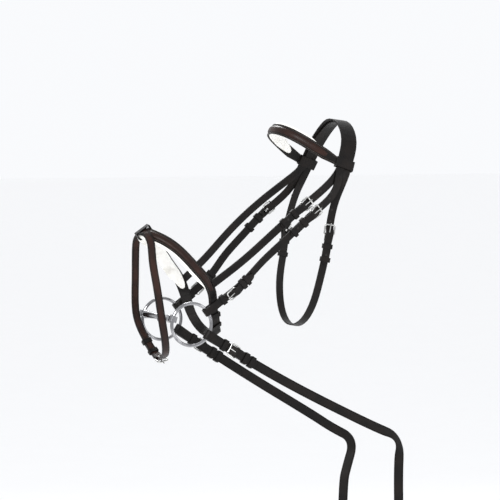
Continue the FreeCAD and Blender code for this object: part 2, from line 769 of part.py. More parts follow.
BARREL_AXIS = outward(BARREL_ANGLE - 90.0)
FORWARD = outward(BARREL_ANGLE)
JOINT_SIDE = -EYE_RADIUS / 2


def ring(sign):
    return Part.makeTorus(RING_RADIUS, RING_WIRE, RING_CENTRE + Vector(0, sign * RING_SIDE, 0), Vector(0, 1, 0))


def cannon(sign):
    """One half of the mouthpiece: a barrel that the ring runs through, a tapered bar and an eye."""
    barrel = ring_point(sign, BARREL_ANGLE)
    joint = Vector(barrel.x, JOINT_SIDE, barrel.z) - FORWARD * JOINT_SAG
    inward = (joint - barrel).normalize()
    length = (joint - barrel).Length
    eye_side = EYE_RADIUS if sign == FAR else 0.0
    eye = joint - inward * eye_side
    eye_axis = BARREL_AXIS if sign == NEAR else inward.cross(BARREL_AXIS)
    reach = length - eye_side - EYE_RADIUS + 0.6
    body = Part.makeCylinder(CANNON, BARREL_LENGTH, barrel - BARREL_AXIS * (BARREL_LENGTH / 2), BARREL_AXIS)
    body = body.fuse(Part.makeCone(BARREL_LENGTH / 2, CANNON, 12.0, barrel, inward))
    body = body.fuse(Part.makeCone(CANNON, CANNON_THIN, reach - 12.0 - 8.0, barrel + inward * 12.0, inward))
    body = body.fuse(Part.makeCone(CANNON_THIN, EYE_WIRE, 8.0, barrel + inward * (reach - 8.0), inward))
    body = body.fuse(Part.makeTorus(EYE_RADIUS, EYE_WIRE, eye, eye_axis))
    eye_hole = Part.makeCylinder(EYE_RADIUS - EYE_WIRE, 12.0, eye - eye_axis * 6.0, eye_axis)
    hole = Part.makeCylinder(FOLD_INSIDE, 30.0, barrel - BARREL_AXIS * 15.0, BARREL_AXIS)
    return body.cut(hole).cut(eye_hole), barrel, joint


for sign in (NEAR, FAR):
    write(f"{NAMES[sign]}_bit_ring", ring(sign))
    made, barrel, joint = cannon(sign)
    write(f"{NAMES[sign]}_cannon", made)
    angle = math.degrees(math.atan2(JOINT_SAG, abs(joint.y - barrel.y)))
    print(f"JOINT {NAMES[sign]}_cannon barrel {barrel.x:.3f} {barrel.y:.3f} {barrel.z:.3f} joint {joint.x:.3f} "
          f"{joint.y:.3f} {joint.z:.3f} axis {BARREL_AXIS.x:.5f} 0 {BARREL_AXIS.z:.5f} lean {angle:.4f}")


# ---- reins: a bit-end billet, a long strap and the centre buckle that joins the two ----

REIN_START = 40.2           # ring wire to the butt between the billet and the rein
LOOP_RADIUS = 48.0
LOOP_STRAIGHT = 46.0        # half of the straight bottom of the hanging loop
LOOP_BOTTOM = Vector(62, -7, -1266)
LOOP_ALONG = Vector(-0.371, 0.9286, 0).normalize()
LOOP_WIDE = Vector(0.9286, 0.371, 0).normalize()
HANGING_WIDE = Vector(0.92, -0.39, 0).normalize()   # way the width lies on the hanging part, at its top
LOOP_END = 17.4             # each rein ends this far from the middle of the loop
CENTRE_HINGE = 58.0         # on the centre buckle's own route, whose middle is at 60
EDGE_RADIUS = 24.0          # the rein bends this tightly over the edge of what it hangs on
SAG_REACH = 96.0            # the rein runs straight on from its billet for this far, and then sags
NEAR_EDGE = Vector(86, -69.2, -543)
FAR_SAG = Vector(-11.3, 69.2, -511.3)
FAR_EDGE = Vector(64, 69.2, -561)
NEAR_HANGING = [(86, -72, -665), (87, -74, -860), (92.8, -83.8, -1040)]
FAR_HANGING = [(43.5, 62, -628), (40, 60.5, -720), (33.5, 61, -860), (30.8, 70.7, -1035)]


def rein_route(sign, angle):
    """The straight line away from the ring that the bit end of the rein lies on."""
    start = ring_point(sign, angle)
    end = ring_point(sign, angle, RING_RADIUS + 160.0)
    return Route([start, end], [Vector(start.x, 0, start.z), Vector(end.x, 0, end.z)])


rein_routes = {NEAR: rein_route(NEAR, NEAR_REIN_ANGLE), FAR: rein_route(FAR, FAR_REIN_ANGLE)}


def bottom_turn(sign):
    """The corners of a hanging rein's turn into the bottom of the loop, from the side inwards."""
    run = LOOP_RADIUS * math.tan(math.radians(15.0)) / 0.45
    corners = []
    reach = LOOP_STRAIGHT
    height = 0.0
    for tilt in (0.0, 30.0, 60.0):
        corners.append(LOOP_BOTTOM + LOOP_ALONG * (sign * reach) + Vector(0, 0, height))
        step = math.radians(tilt + 30.0)
        reach += run * math.cos(step)
        height += run * math.sin(step)
    return corners[::-1]


def rein_points(sign):
    """The middle line of a rein's leather, the way its width lies at each point, and which point is the edge."""
    route = rein_routes[sign]
    straight = route.at(REIN_START)
    level = straight.across * (1 if straight.across.z > 0 else -1)
    start = straight.lifted(LEATHER / 2).point
    points = [start, start + straight.along * SAG_REACH]
    points += [NEAR_EDGE] if sign == NEAR else [FAR_SAG, FAR_EDGE]
    edge_at = len(points) - 1
    points += [Vector(*p) for p in (NEAR_HANGING if sign == NEAR else FAR_HANGING)]
    points += bottom_turn(sign) + [LOOP_BOTTOM + LOOP_ALONG * (sign * LOOP_END)]
    over_edge = Vector(1, -sign, 1).normalize()
    wide = [level] * edge_at + [over_edge, HANGING_WIDE, Vector(1, 0, 0)]
    return points, wide + [LOOP_WIDE] * (len(points) - len(wide)), edge_at


def rounded_path(points, edge_at):
    """Straight runs joined by tangent arcs, as (point, direction, share of the way to the next point)."""
    places = [(points[0], (points[1] - points[0]).normalize(), 0.0)]
    for k in range(1, len(points) - 1):
        before, here, after = points[k - 1], points[k], points[k + 1]
        into = (here - before).normalize()
        away = (after - here).normalize()
        turn = into.getAngle(away)
        shorter = min((here - before).Length, (after - here).Length)
        radius = EDGE_RADIUS if k == edge_at else 0.45 * shorter / math.tan(turn / 2)
        cut = radius * math.tan(turn / 2)
        print(f"  turn {math.degrees(turn):5.1f} degrees, radius {radius:7.1f}, run {(after - here).Length:6.1f}")
        axis = into.cross(away).normalize()
        centre = here - into * cut + axis.cross(into) * radius
        count = max(2, math.ceil(math.degrees(turn) / 12.0))
        for j in range(count + 1):
            spin = FreeCAD.Rotation(axis, math.degrees(turn) * j / count)
            point = centre + spin.multVec(here - into * cut - centre)
            part = 2 * j / count - 1
            share = k + part * cut / ((here - before).Length if part < 0 else (after - here).Length)
            places.append((point, spin.multVec(into), share))
    places.append((points[-1], (points[-1] - points[-2]).normalize(), len(points) - 1.0))
    return places


def along_path(places, spacing):
    """The path's places with more of them along its straight runs."""
    result = [places[0]]
    for a, b in zip(places, places[1:]):
        count = max(1, math.ceil((b[0] - a[0]).Length / spacing))
        for k in range(1, count + 1):
            share = k / count
            direction = (a[1] * (1 - share) + b[1] * share).normalize()
            result.append((a[0] + (b[0] - a[0]) * share, direction, a[2] + (b[2] - a[2]) * share))
    return result


TIPPING = 34.0              # the rein tips over in this last part of its run to the edge
FACING = 50.0               # and faces outwards again in this first part of its hanging run


def width_at(points, wide, edge_at, share):
    """The direction of the rein's width, turned smoothly between its corners."""
    k = min(int(share), len(wide) - 2)
    part = share - k
    run = (points[k + 1] - points[k]).Length
    if k == edge_at - 1:
        part = max(0.0, 1 - (1 - part) * run / TIPPING)
    if k == edge_at:
        part = min(1.0, part * run / FACING)
    part = part * part * (3 - 2 * part)
    return wide[k] * (1 - part) + wide[k + 1] * part


def rein(sign):
    points, wide, edge_at = rein_points(sign)
    print(f"{NAMES[sign]}_rein route")
    for p in points:
        print(f"  ({p.x:.1f}, {p.y:.1f}, {p.z:.1f})")
    places = along_path(rounded_path(points, edge_at), 16.0)
    wires = []
    length = 0.0
    for k, (point, direction, share) in enumerate(places):
        side_way = width_at(points, wide, edge_at, share)
        side_way = (side_way - direction * side_way.dot(direction)).normalize()
        face = direction.cross(side_way) * (LEATHER / 2)
        side_way = side_way * (REIN_WIDTH / 2)
        corners = [point - side_way - face, point + side_way - face, point + side_way + face,
                   point - side_way + face]
        wires.append(Part.makePolygon(corners + [corners[0]]))
        if k:
            length += (point - places[k - 1][0]).Length
    made = Part.makeLoft(wires, True, True)
    print(f"{NAMES[sign]}_rein length {length:.1f}, volume {made.Volume:.1f} against section times length "
          f"{length * REIN_WIDTH * LEATHER:.1f}")
    write(f"{NAMES[sign]}_rein", made)


centre_route = Route([LOOP_BOTTOM - LOOP_ALONG * 60 + Vector(0, 0, LEATHER / 2),
                      LOOP_BOTTOM + LOOP_ALONG * 60 + Vector(0, 0, LEATHER / 2)],
                     [LOOP_BOTTOM - LOOP_ALONG * 60 + Vector(0, 0, 60),
                      LOOP_BOTTOM + LOOP_ALONG * 60 + Vector(0, 0, 60)])


def rein_ends(sign):
    """The billet round the ring and its buckle."""
    route = rein_routes[sign]
    name = NAMES[sign]
    made = buckle(f"{name}_rein", route, BIT_HINGE, -1, REIN_WIDTH, LEATHER + PLY_GAP)
    leather = strap(route, bit_end(REIN_START - 0.2), REIN_WIDTH, tip_end=TIP)
    write(f"{name}_rein_billet", made.punched(leather))
    write(f"{name}_rein_chape", bit_chape(made))
    keepers["reins"] += [
        keeper(route, 33.0, REIN_WIDTH, 0, LEATHER + PLY_GAP + BILLET),
        keeper(route, 77.0, REIN_WIDTH, 0, 2 * (LEATHER + PLY_GAP) + BILLET),
        keeper(route, 90.0, REIN_WIDTH, 0, 2 * (LEATHER + PLY_GAP) + BILLET),
    ]


for sign in (NEAR, FAR):
    rein_ends(sign)
    rein(sign)

centre = buckle("rein_centre", centre_route, CENTRE_HINGE, 1, REIN_WIDTH)
chape_reach = CENTRE_HINGE - (60.0 - LOOP_END) - PLY_GAP
billet_reach = 60.0 + LOOP_END - CENTRE_HINGE - PLY_GAP
write("rein_centre_chape",
      centre.slotted(strap(centre_route, centre.chape(-chape_reach, chape_reach - 0.5), REIN_WIDTH)))
write("rein_centre_billet",
      centre.punched(strap(centre_route, centre.billet(billet_reach, 40.0), REIN_WIDTH, tip_end=TIP)))
for gone in (19.0, 31.0):
    keepers["rein_centre"].append(
        keeper(centre_route, CENTRE_HINGE - gone, REIN_WIDTH, 0, LEATHER + PLY_GAP + BILLET))

for made in buckles:
    made.write()
for group, loops in keepers.items():
    write(f"{group}_keepers", Part.makeCompound(loops))
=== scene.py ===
"""The looks of a flash-noseband snaffle bridle: leather, padding, thread, steel and hanging reins.

Metres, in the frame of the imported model: the horse faces -X, its left side is -Y and +Z is up.
"""

import json
import math

import bmesh
import bpy
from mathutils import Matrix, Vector
from mathutils.bvhtree import BVHTree
from mathutils.kdtree import KDTree

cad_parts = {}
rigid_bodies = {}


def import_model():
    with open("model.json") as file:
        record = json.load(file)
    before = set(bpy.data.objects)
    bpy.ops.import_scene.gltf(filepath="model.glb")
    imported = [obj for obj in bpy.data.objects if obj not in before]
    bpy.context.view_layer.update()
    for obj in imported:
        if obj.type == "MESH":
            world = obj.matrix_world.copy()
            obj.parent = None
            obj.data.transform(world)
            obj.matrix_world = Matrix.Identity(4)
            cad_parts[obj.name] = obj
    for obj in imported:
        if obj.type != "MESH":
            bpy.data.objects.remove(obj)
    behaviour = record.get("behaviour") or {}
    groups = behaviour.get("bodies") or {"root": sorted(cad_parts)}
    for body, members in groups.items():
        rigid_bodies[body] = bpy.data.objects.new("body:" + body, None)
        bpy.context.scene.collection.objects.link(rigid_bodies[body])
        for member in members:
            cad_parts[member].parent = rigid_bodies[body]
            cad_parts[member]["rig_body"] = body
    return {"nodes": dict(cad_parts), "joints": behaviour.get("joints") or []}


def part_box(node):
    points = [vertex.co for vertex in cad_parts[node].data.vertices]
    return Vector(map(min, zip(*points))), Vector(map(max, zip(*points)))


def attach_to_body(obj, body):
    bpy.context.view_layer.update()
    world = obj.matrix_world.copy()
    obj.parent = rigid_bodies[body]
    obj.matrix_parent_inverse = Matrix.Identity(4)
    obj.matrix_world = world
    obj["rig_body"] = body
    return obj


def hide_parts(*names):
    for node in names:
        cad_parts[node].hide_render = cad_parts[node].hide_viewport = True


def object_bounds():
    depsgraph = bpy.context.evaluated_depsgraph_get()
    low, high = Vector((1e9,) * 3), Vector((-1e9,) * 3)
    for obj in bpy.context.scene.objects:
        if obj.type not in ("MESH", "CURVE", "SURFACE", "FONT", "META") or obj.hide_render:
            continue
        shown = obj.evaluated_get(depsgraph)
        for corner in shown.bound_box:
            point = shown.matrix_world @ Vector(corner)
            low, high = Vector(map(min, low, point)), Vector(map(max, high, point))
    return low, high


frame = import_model()
NODES = frame["nodes"]
JOINTS = frame["joints"]
CAD_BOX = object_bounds()

# ---- view ----
AZIMUTH = -23.0
ELEVATION = 3.0
DISTANCE = 5.0
VIEW_WIDTH = 0.85
LOOK_AT = Vector((-0.161, 0.0, -0.216))

# ---- leather ----
# a line down the middle of where the head would be, to tell a strap's outer face from its inner one
HEAD_CORE = (Vector((-0.010, 0.0, -0.075)), Vector((-0.300, 0.0, -0.300)))
BROAD_LIMIT = math.radians(32)      # a strap's face goes on over bends flatter than this
EDGE_LIMIT = math.radians(20)       # and so does its narrow side over these
SHARP = math.radians(34)
SKIN_SHARP = math.radians(50)       # the same, for the pieces made from rings of points
WELD = 2e-6                         # corners closer than this are one corner
RAIL_PITCH = 0.0004                 # points along a strap's edge, to measure from
TIP_PITCH = 0.0005                  # the same, on a line that goes round a strap's tip
TIP_CUT = 4                         # points of it dropped each side of the tip
SHORTEST_RAIL = 0.010
OFF_STRAP = (0.0, 0.09)             # the mark of a corner on no strap face, which reads as close to an edge
MID_STRAP = (0.0, 5.0)              # the mark of a corner far from any edge, which takes the full painted highlight of a strap's middle
LEATHER = 0.0024
EDGE_ROUNDING = 0.0005
CREASE_INSET = 0.0017               # from the edge of a strap to its crease line
STITCH_INSET = 0.0021
STITCH_PITCH = 0.0032
STITCH_LENGTH = 0.0024
STITCH_WIDTH = 0.00062
STITCH_LIFT = 0.00008
STITCH_FLATNESS = 0.8
# (place along a stitch, size there), in shares of its length and width
STITCH_SHAPE = ((-0.5, 0.35), (-0.32, 1.0), (0.32, 1.0), (0.5, 0.35))
FOLD_REACH = (0.011, 0.031)         # stitches on a folded end lie this far from the buckle's hinge
BAND_INSET = 0.0037                 # from a band's edge to its raised middle
BAND_HEIGHT = 0.0026
BAND_PITCH = 0.004
BAND_RISE = 0.022                   # length over which the middle comes up to its height
NOSEBAND_BARE = (0.085, 0.110)      # lengths at each end of the band that have no raised middle
BROWBAND_BARE = (0.020, 0.020)
HOLE_PITCH = 0.019
HOLE_START = 0.004                  # from the tongue's hinge to the hole that it goes through
HOLE_RADIUS = 0.0015
# (share of the radius, height over the leather): a hole's pressed rim, from outside inwards
HOLE_RIM = ((1.4, -0.00005), (1.3, 0.00012), (1.1, 0.00020), (0.9, 0.00012), (0.8, 0.00002))

# ---- padding ----
PAD_VOXEL = 0.0011
PAD_SMOOTHING = 9                   # passes
PAD_SWELL = 0.00045

# ---- reins ----
REIN_WIDTH = 0.016
LEFT_COURSE = [(-0.2316, -0.0692, -0.3742), (-0.1501, -0.0692, -0.4250), (0.0860, -0.0692, -0.5430)]
RIGHT_COURSE = [(-0.2323, 0.0692, -0.3753), (-0.1518, 0.0692, -0.4276), (-0.0113, 0.0692, -0.5113),
                (0.0640, 0.0692, -0.5610)]
LEFT_HANGING = [(0.0860, -0.0720, -0.6650), (0.0870, -0.0740, -0.8600), (0.0928, -0.0838, -1.0400),
                (0.0936, -0.0860, -1.2270), (0.0882, -0.0727, -1.2517), (0.0791, -0.0497, -1.2660),
                (0.0685, -0.0232, -1.2660)]
RIGHT_HANGING = [(0.0435, 0.0620, -0.6280), (0.0400, 0.0605, -0.7200), (0.0335, 0.0610, -0.8600),
                 (0.0308, 0.0707, -1.0350), (0.0304, 0.0720, -1.2270), (0.0358, 0.0587, -1.2517),
                 (0.0449, 0.0357, -1.2660), (0.0555, 0.0092, -1.2660)]
NEAR_EDGE = 0.050                   # the line is held this far either side of the neck's edge
EDGE_OUT = 0.004                    # the line goes this far past the neck's edge, back and up
# the way a rein's width lies as it hangs, and in the loop at the bottom
HANGING_WIDE = Vector((0.92, -0.39, 0.0))
LOOP_WIDE = Vector((0.9286, 0.3710, 0.0))
EDGE_BEFORE = 0.006                 # a rein has turned its edge to the neck this far before the neck's edge
EDGE_TURN = 0.034                   # lengths over which a rein turns from one way to the next
HANGING_TURN = 0.050
LOOP_TURN = 0.36
LOOP_AFTER = 0.12                   # past there, where the turn towards the loop starts

# ---- stage ----
FLOOR_REACH = 40.0
FLOOR_GAP = 0.004


# ---- camera, light and floor ----

def linked(name, data):
    """Puts new data into the scene as an object."""
    made = bpy.data.objects.new(name, data)
    bpy.context.scene.collection.objects.link(made)
    return made


def make_camera():
    """A camera on the horse's left, a little ahead of it and above the middle of the bridle."""
    turn, rise = math.radians(AZIMUTH), math.radians(ELEVATION)
    back = Vector((math.sin(turn) * math.cos(rise), -math.cos(turn) * math.cos(rise), math.sin(rise)))
    data = bpy.data.cameras.new("camera")
    data.lens = data.sensor_width * DISTANCE / VIEW_WIDTH
    data.clip_end = 100.0
    camera = linked("camera", data)
    camera.location = LOOK_AT + back * DISTANCE
    camera.rotation_mode = "QUATERNION"
    camera.rotation_quaternion = (-back).to_track_quat("-Z", "Y")
    bpy.context.scene.camera = camera


def make_lamp(name, place, size, power):
    """A soft round lamp that shines at the bridle."""
    data = bpy.data.lights.new(name, "AREA")
    data.shape = "DISK"
    data.size = size
    data.energy = power
    lamp = linked(name, data)
    lamp.location = place
    lamp.rotation_mode = "QUATERNION"
    lamp.rotation_quaternion = (LOOK_AT - Vector(place)).to_track_quat("-Z", "Y")


def make_stage():
    """A wide pale floor under the reins, a pale sky and three lamps."""
    mesh = bpy.data.meshes.new("floor")
    low = CAD_BOX[0].z - FLOOR_GAP
    around = ((-1, -1), (1, -1), (1, 1), (-1, 1))
    mesh.from_pydata([(FLOOR_REACH * x, FLOOR_REACH * y, low) for x, y in around], [], [(0, 1, 2, 3)])
    floor = linked("floor", mesh)
    paint(floor, floor_material())
    world = bpy.data.worlds.new("studio")
    world.use_nodes = True
    world.node_tree.nodes["Background"].inputs["Color"].default_value = (0.95, 0.96, 0.98, 1.0)
    world.node_tree.nodes["Background"].inputs["Strength"].default_value = 1.0
    bpy.context.scene.world = world
    bpy.context.scene.view_settings.view_transform = "Standard"
    make_lamp("key", (-2.2, -2.4, 1.3), 1.1, 95.0)
    make_lamp("fill", (2.2, -2.6, 0.4), 1.6, 28.0)
    make_lamp("back", (0.4, 2.6, 1.8), 1.2, 60.0)


# ---- materials ----

class Shader:
    """A material's node tree, with short ways to add and join nodes."""

    def __init__(self, name):
        self.material = bpy.data.materials.new(name)
        self.material.use_nodes = True
        self.tree = self.material.node_tree
        self.surface = self.tree.nodes["Principled BSDF"]

    def add(self, kind, inputs=None, **settings):
        """A new node, with what goes into it and how it is set."""
        node = self.tree.nodes.new(kind)
        for key, value in settings.items():
            setattr(node, key, value)
        for key, value in (inputs or {}).items():
            self.set(node, key, value)
        return node

    def set(self, node, key, value):
        """Joins another node's output to an input, or gives it a plain value."""
        if isinstance(value, bpy.types.NodeSocket):
            self.tree.links.new(value, node.inputs[key])
        else:
            node.inputs[key].default_value = value

    def give(self, **values):
        """Sets the surface shader's own inputs."""
        for key, value in values.items():
            self.set(self.surface, key.replace("_", " "), value)

    def place(self):
        """Where a point is on its own object, in metres."""
        return self.add("ShaderNodeTexCoord").outputs["Object"]

    def noise(self, scale, detail=3.0, place=None):
        """Soft cloudy values from 0 to 1."""
        inputs = {"Vector": place or self.place(), "Scale": scale, "Detail": detail}
        return self.add("ShaderNodeTexNoise", inputs).outputs["Fac"]

    def cells(self, scale):
        """How far a point is from the border of its cell."""
        inputs = {"Vector": self.place(), "Scale": scale}
        return self.add("ShaderNodeTexVoronoi", inputs, feature="DISTANCE_TO_EDGE").outputs["Distance"]

    def ramp(self, value, start, end, low=0.0, high=1.0):
        """A smooth step from low to high, as the value goes from start to end."""
        inputs = {"Value": value, "From Min": start, "From Max": end, "To Min": low, "To Max": high}
        return self.add("ShaderNodeMapRange", inputs, interpolation_type="SMOOTHSTEP").outputs["Result"]

    def math(self, operation, a, b=0.0):
        return self.add("ShaderNodeMath", {0: a, 1: b}, operation=operation).outputs["Value"]

    def mix(self, share, a, b):
        """One colour blended into another."""
        node = self.add("ShaderNodeMix", data_type="RGBA")
        # the node's sockets share their names, so the ones for colours go by number
        for key, value in ((0, share), (6, a), (7, b)):
            self.set(node, key, value)
        return node.outputs[2]

    def bump(self, height):
        """Relief from a height in millimetres."""
        inputs = {"Height": height, "Distance": 0.001, "Strength": 1.0}
        return self.add("ShaderNodeBump", inputs).outputs["Normal"]


def colour(red, green, blue):
    """An opaque colour, in linear light."""
    return (red, green, blue, 1.0)


def leather_material(name, deep, worn_and_highlit, gloss, centre):
    """Waxed strap leather: pebbled grain, a crease line along each edge darkened with painted shade, edge
    paint, rubbed places and a painted highlight down the middle.

    The centre is how much a painted highlight lightens the strap's middle over its dark edges.
    """
    s = Shader(name)
    strap = s.add("ShaderNodeSeparateXYZ", {"Vector": s.add("ShaderNodeUVMap", uv_map="strap").outputs["UV"]})
    across = s.math("ABSOLUTE", strap.outputs["X"])
    from_edge = s.math("SUBTRACT", strap.outputs["Y"], across)
    off_crease = s.math("ABSOLUTE", s.math("SUBTRACT", from_edge, CREASE_INSET * 100))
    crease = s.ramp(off_crease, 0.0, 0.045, 1.0, 0.0)
    painted = s.ramp(from_edge, 0.02, 0.07, 1.0, 0.0)
    patches = s.ramp(s.noise(38.0, 4.0), 0.42, 0.66)
    edge_wear = s.ramp(from_edge, 0.02, 0.16, 1.0, 0.15)
    rubbed = s.math("MULTIPLY", s.ramp(s.noise(260.0, 5.0), 0.5, 0.72), edge_wear)
    wear_and_painted_highlight = s.math("ADD", s.math("MULTIPLY", patches, 0.45), s.math("MULTIPLY", rubbed, 0.5))
    # painted highlight: the strap's middle is lightened towards the reddish colour, standing in for the light
    # its raised leather catches
    wear_and_painted_highlight = s.math("ADD", wear_and_painted_highlight, s.math("MULTIPLY", s.ramp(from_edge, 0.10, 0.42), centre))
    base = s.mix(s.math("MINIMUM", wear_and_painted_highlight, 1.0), deep, worn_and_highlit)
    # painted shade: the crease line is darkened as if shadowed in its groove
    base = s.mix(s.math("MULTIPLY", crease, 0.75), base, colour(0.004, 0.003, 0.003))
    base = s.mix(s.math("MULTIPLY", painted, 0.8), base, colour(0.006, 0.005, 0.005))
    grain = s.ramp(s.cells(1150.0), 0.0, 0.16)
    fine = s.noise(2400.0, 2.0)
    relief = s.math("ADD", s.math("MULTIPLY", grain, 0.030), s.math("MULTIPLY", fine, 0.018))
    relief = s.math("ADD", relief, s.math("MULTIPLY", s.noise(120.0, 3.0), 0.12))
    relief = s.math("SUBTRACT", relief, s.math("MULTIPLY", crease, 0.22))
    rough = s.math("ADD", gloss, s.math("MULTIPLY", s.noise(55.0, 4.0), 0.22))
    s.give(Base_Color=base, Roughness=rough, Normal=s.bump(relief), Specular_IOR_Level=0.15)
    return s.material


def padding_material():
    """Soft white lining leather, a little greyed where it is handled."""
    s = Shader("white_padding")
    base = s.mix(s.ramp(s.noise(70.0, 5.0), 0.45, 0.75), colour(0.83, 0.82, 0.79), colour(0.66, 0.64, 0.59))
    relief = s.math("MULTIPLY", s.ramp(s.cells(900.0), 0.0, 0.2), 0.03)
    relief = s.math("ADD", relief, s.math("MULTIPLY", s.noise(170.0, 3.0), 0.25))
    rough = s.math("ADD", 0.42, s.math("MULTIPLY", s.noise(90.0, 3.0), 0.25))
    s.give(Base_Color=base, Roughness=rough, Normal=s.bump(relief), Sheen_Weight=0.15)
    return s.material


def steel_material(name, bright, dull, gloss):
    """Polished stainless steel with fine scratches and handled patches."""
    s = Shader(name)
    stretched = s.add("ShaderNodeMapping", {"Vector": s.place(), "Scale": (900.0, 900.0, 5200.0)})
    scratch = s.noise(1.0, 4.0, stretched.outputs["Vector"])
    patches = s.ramp(s.noise(110.0, 4.0), 0.4, 0.7)
    rough = s.math("ADD", gloss, s.math("MULTIPLY", patches, 0.10))
    rough = s.math("ADD", rough, s.math("MULTIPLY", scratch, 0.05))
    base = s.mix(patches, bright, dull)
    s.give(Base_Color=base, Metallic=1.0, Roughness=rough, Normal=s.bump(s.math("MULTIPLY", scratch, 0.004)))
    return s.material


def thread_material():
    """Waxed linen thread, twisted."""
    s = Shader("thread")
    twist = s.add("ShaderNodeTexWave", {"Vector": s.place(), "Scale": 900.0, "Distortion": 1.0})
    base = s.mix(twist.outputs["Fac"], colour(0.030, 0.022, 0.018), colour(0.075, 0.055, 0.042))
    relief = s.math("MULTIPLY", twist.outputs["Fac"], 0.06)
    s.give(Base_Color=base, Roughness=0.6, Normal=s.bump(relief))
    return s.material


def hole_shade_material():
    """The pressed rim of a hole in the leather's own dark colour, and across the hole a flat dark disc:
    painted shade for its depth.
    """
    s = Shader("hole_shade")
    base = s.mix(s.noise(900.0, 3.0), colour(0.002, 0.002, 0.002), colour(0.012, 0.008, 0.006))
    s.give(Base_Color=base, Roughness=0.9)
    return s.material


def floor_material():
    """Plain pale paper."""
    s = Shader("floor")
    base = s.mix(s.noise(6.0, 2.0), colour(0.965, 0.965, 0.965), colour(0.98, 0.98, 0.98))
    s.give(Base_Color=base, Roughness=0.9)
    return s.material


def paint(piece, material):
    """Gives the whole of a piece one material."""
    piece.data.materials.clear()
    piece.data.materials.append(material)


# ---- straps: rails found along the two edges of a strap's outer face ----

def grown(faces, limit):
    """Groups faces that join across edges flatter than the limit, the largest group first."""
    waiting = set(faces)
    groups = []
    for first in faces:
        if first not in waiting:
            continue
        waiting.discard(first)
        group = [first]
        for face in group:
            for edge in face.edges:
                for other in edge.link_faces:
                    if other in waiting and face.normal.angle(other.normal, 0.0) < limit:
                        waiting.discard(other)
                        group.append(other)
        groups.append(group)
    return sorted(groups, key=lambda group: -sum(face.calc_area() for face in group))


def facing_out(group):
    """How much a group of faces looks away from the head."""
    start, end = HEAD_CORE
    run = end - start
    total = 0.0
    for face in group:
        middle = face.calc_center_median()
        share = min(max((middle - start).dot(run) / run.length_squared, 0.0), 1.0)
        total += face.calc_area() * face.normal.dot((middle - start - run * share).normalized())
    return total


def chain(one, other):
    """The points of the longest line of edges between two groups of faces, in order."""
    first, second = set(one), set(other)
    near = {}
    for face in one:
        for edge in face.edges:
            sides = set(edge.link_faces)
            if sides & first and sides & second:
                a, b = edge.verts
                near.setdefault(a, set()).add(b)
                near.setdefault(b, set()).add(a)
    lines = []
    left = sorted(near, key=lambda vertex: (len(near[vertex]), vertex.index))
    done = set()
    for start in left:
        if start in done:
            continue
        line = [start]
        done.add(start)
        while True:
            ahead = [v for v in near[line[-1]] if v not in done]
            if not ahead:
                break
            line.append(min(ahead, key=lambda vertex: vertex.index))
            done.add(line[-1])
        lines.append([v.co.copy() for v in line])
    return max(lines, key=line_length) if lines else []


def line_length(line):
    """The length of a line of points."""
    return sum((b - a).length for a, b in zip(line, line[1:]))


def spread(line, pitch):
    """Points along a line, evenly spaced."""
    count = max(2, round(line_length(line) / pitch))
    step = line_length(line) / count
    points = [line[0]]
    run = 0.0
    due = step
    for a, b in zip(line, line[1:]):
        length = (b - a).length
        while due <= run + length + 1e-9 and len(points) <= count:
            points.append(a.lerp(b, (due - run) / max(length, 1e-9)))
            due += step
        run += length
    return points


def rails(group, sides):
    """The two lines along the edges of one face of a strap. A line that goes round its tip is cut there."""
    lines = sorted((chain(group, side) for side in sides), key=line_length)[-2:][::-1]
    if line_length(lines[1]) < 0.7 * line_length(lines[0]):
        whole = spread(lines[0], TIP_PITCH)
        middle = len(whole) // 2
        lines = [whole[:middle - TIP_CUT], whole[middle + TIP_CUT:][::-1]]
    return lines


class Strap:
    """What is known of a strap's shape: its outer face, and a line along each of its two edges."""

    def __init__(self, bm):
        broad = sorted(grown(bm.faces, BROAD_LIMIT)[:2], key=facing_out)
        self.inner, self.outer = broad
        taken = set(self.inner) | set(self.outer)
        sides = grown([face for face in bm.faces if face not in taken], EDGE_LIMIT)[:8]
        self.lines = {key: rails(group, sides)
                      for key, group in (("outer", self.outer), ("inner", self.inner))}
        self.tree = BVHTree.FromBMesh(bm)

    def sound(self):
        """Whether two edge lines of about the same length were found."""
        lengths = [line_length(line) for line in self.lines["outer"]]
        return min(lengths) > SHORTEST_RAIL and min(lengths) > 0.8 * max(lengths)

    def stations(self, pitch):
        """(point on one edge, point on the other, way along, way out) at even steps along the outer face."""
        first, second = self.lines["outer"]
        tree = point_tree(spread(second, RAIL_PITCH))
        pairs = [(a, tree.find(a)[0]) for a in spread(first, pitch)]
        middles = [(a + b) / 2 for a, b in pairs]
        normals = [self.tree.find_nearest(m)[1] for m in middles]
        found = []
        for k, (a, b) in enumerate(pairs):
            along = (middles[min(k + 1, len(pairs) - 1)] - middles[max(k - 1, 0)]).normalized()
            near = normals[max(k - 2, 0):k + 3]
            out = sum(near, Vector()).normalized()
            found.append((a, b, along, (out - along * out.dot(along)).normalized()))
        return found


def point_tree(points):
    """A quick way to find the nearest of some points."""
    tree = KDTree(len(points))
    for k, point in enumerate(points):
        tree.insert(point, k)
    tree.balance()
    return tree


def mark_across(bm, strap):
    """Stores on each corner how far it is across its strap, and the half width there, in centimetres."""
    layer = bm.loops.layers.uv.new("strap")
    for face in bm.faces:
        for loop in face.loops:
            loop[layer].uv = OFF_STRAP
    if not strap.sound():
        return
    for key, group in (("outer", strap.outer), ("inner", strap.inner)):
        lines = strap.lines[key]
        if min(len(line) for line in lines) < 2:
            continue
        trees = [point_tree(spread(line, RAIL_PITCH)) for line in lines]
        for face in group:
            for loop in face.loops:
                one, other = (tree.find(loop.vert.co)[2] for tree in trees)
                loop[layer].uv = ((one - other) * 50, (one + other) * 50)


def round_edges(piece):
    """A small rounding on every sharp edge, its shading blended with the flat faces."""
    rounding = piece.modifiers.new("edges", "BEVEL")
    rounding.width = EDGE_ROUNDING
    rounding.segments = 2
    rounding.limit_method = "ANGLE"
    rounding.angle_limit = SHARP
    rounding.use_clamp_overlap = True
    rounding.harden_normals = True


